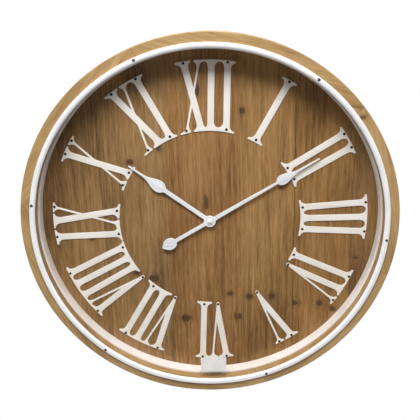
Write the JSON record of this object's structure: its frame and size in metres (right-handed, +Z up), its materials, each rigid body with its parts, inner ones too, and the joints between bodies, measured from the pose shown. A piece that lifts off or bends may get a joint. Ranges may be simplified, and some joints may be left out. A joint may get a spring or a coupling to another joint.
{
  "type": "schoolhouse wall clock",
  "caption": "Round wooden wall clock with a plank dial, nailed white Roman numerals, spade hands, a glass front in a screwed white ring and a battery movement behind.",
  "frame": {"origin": "the hanging point: top of the keyhole bearing on the hanger plate's back face, where the clock meets the wall, 391 mm above the hands' axis", "axes": "+Y into the wall, so the dial faces -Y; +Z up; +X to the reader's right"},
  "size_m": [0.7997, 0.0853, 0.7997],
  "materials": {
    "rim_wood": "fir or pine, planed and clear lacquered",
    "side_wood": "bent plywood and sawn softwood, unfinished",
    "dial_wood": "knotty fir boards, stained brown and matt",
    "liner_paint": "matt off-white paint",
    "white_paint": "stamped steel sheet, satin white enamel",
    "pane_glass": "clear float glass",
    "tag_card": "plain white card",
    "zinc_steel": "bright zinc plate",
    "rubber_black": "matt black rubber",
    "abs_black": "fine textured black",
    "acetal_white": "moulded, natural white",
    "turned_brass": "turned, bright",
    "rotor_magnet": "sintered magnet, dark grey",
    "coil_copper": "enamelled copper wire",
    "board_green": "solder mask",
    "cell_wrap": "plain printed film on a steel can"
  },
  "bodies": {
    "case": {"case_hoop": "side_wood", "back_batten_upper": "side_wood", "back_batten_lower": "side_wood", "rim_segment_1": "rim_wood", "rim_segment_2": "rim_wood", "rim_segment_3": "rim_wood", "rim_segment_4": "rim_wood", "rim_segment_5": "rim_wood", "rim_segment_6": "rim_wood", "dial_plank_1": "dial_wood", "dial_plank_2": "dial_wood", "dial_plank_3": "dial_wood", "dial_plank_4": "dial_wood", "dial_plank_5": "dial_wood", "dial_plank_6": "dial_wood", "liner_hoop": "liner_paint", "glass_pane": "pane_glass", "bezel_ring": "white_paint", "numeral_1": "white_paint", "numeral_2": "white_paint", "numeral_3": "white_paint", "numeral_4": "white_paint", "numeral_5": "white_paint", "numeral_6": "white_paint", "numeral_7": "white_paint", "numeral_8": "white_paint", "numeral_9": "white_paint", "numeral_10": "white_paint", "numeral_11": "white_paint", "numeral_12": "white_paint", "paper_tag": "tag_card", "hanger_plate": "zinc_steel", "contact_positive": "zinc_steel", "contact_negative": "zinc_steel", "stator": "zinc_steel", "coil_core": "zinc_steel", "wall_bumper_right": "rubber_black", "wall_bumper_left": "rubber_black", "rubber_gasket": "rubber_black", "movement_case": "abs_black", "movement_cover": "abs_black", "threaded_bushing": "turned_brass", "brass_washer": "turned_brass", "hex_nut": "turned_brass", "coil": "coil_copper", "circuit_board": "board_green"},
    "minute": {"minute_arbor": "zinc_steel", "centre_wheel": "acetal_white", "minute_hand": "white_paint", "hand_cap": "white_paint"},
    "hour": {"hour_wheel": "acetal_white", "hour_hand": "white_paint"},
    "minute_wheel": {"minute_wheel": "acetal_white"},
    "setting_knob": {"setting_knob": "abs_black"},
    "second_wheel": {"second_wheel": "acetal_white"},
    "first_wheel": {"first_wheel": "acetal_white"},
    "rotor": {"rotor": "rotor_magnet"},
    "battery": {"battery": "cell_wrap"}
  },
  "joints": [
    {"name": "minute_turn", "type": "hinge", "parent": "case", "child": "minute", "pos_m": [0, -0.0105, -0.391], "axis": [0, 1, 0], "continuous": true},
    {"name": "hour_turn", "type": "hinge", "parent": "case", "child": "hour", "pos_m": [0, -0.0105, -0.391], "axis": [0, 1, 0], "continuous": true},
    {"name": "minute_wheel_turn", "type": "hinge", "parent": "case", "child": "minute_wheel", "pos_m": [0.01039, -0.0105, -0.385], "axis": [0, 1, 0], "continuous": true},
    {"name": "setting_knob_turn", "type": "hinge", "parent": "case", "child": "setting_knob", "pos_m": [0.02079, -0.0105, -0.379], "axis": [0, 1, 0], "continuous": true},
    {"name": "second_wheel_turn", "type": "hinge", "parent": "case", "child": "second_wheel", "pos_m": [-0.00642, -0.0105, -0.38183], "axis": [0, 1, 0], "continuous": true},
    {"name": "first_wheel_turn", "type": "hinge", "parent": "case", "child": "first_wheel", "pos_m": [-0.01545, -0.0105, -0.37854], "axis": [0, 1, 0], "continuous": true},
    {"name": "rotor_turn", "type": "hinge", "parent": "case", "child": "rotor", "pos_m": [-0.01145, -0.0105, -0.37161], "axis": [0, 1, 0], "continuous": true},
    {"name": "battery_slide", "type": "slide", "parent": "case", "child": "battery", "axis": [0, 1, 0], "range_m": [0, 0.025]}
  ],
  "couplings": [
    {"joint": "hour_turn", "follows": "minute_turn", "ratio": 0.083333},
    {"joint": "minute_wheel_turn", "follows": "minute_turn", "ratio": -0.33333},
    {"joint": "setting_knob_turn", "follows": "minute_turn", "ratio": 1},
    {"joint": "second_wheel_turn", "follows": "minute_turn", "ratio": -6},
    {"joint": "first_wheel_turn", "follows": "minute_turn", "ratio": 30},
    {"joint": "rotor_turn", "follows": "minute_turn", "ratio": -120}
  ]
}
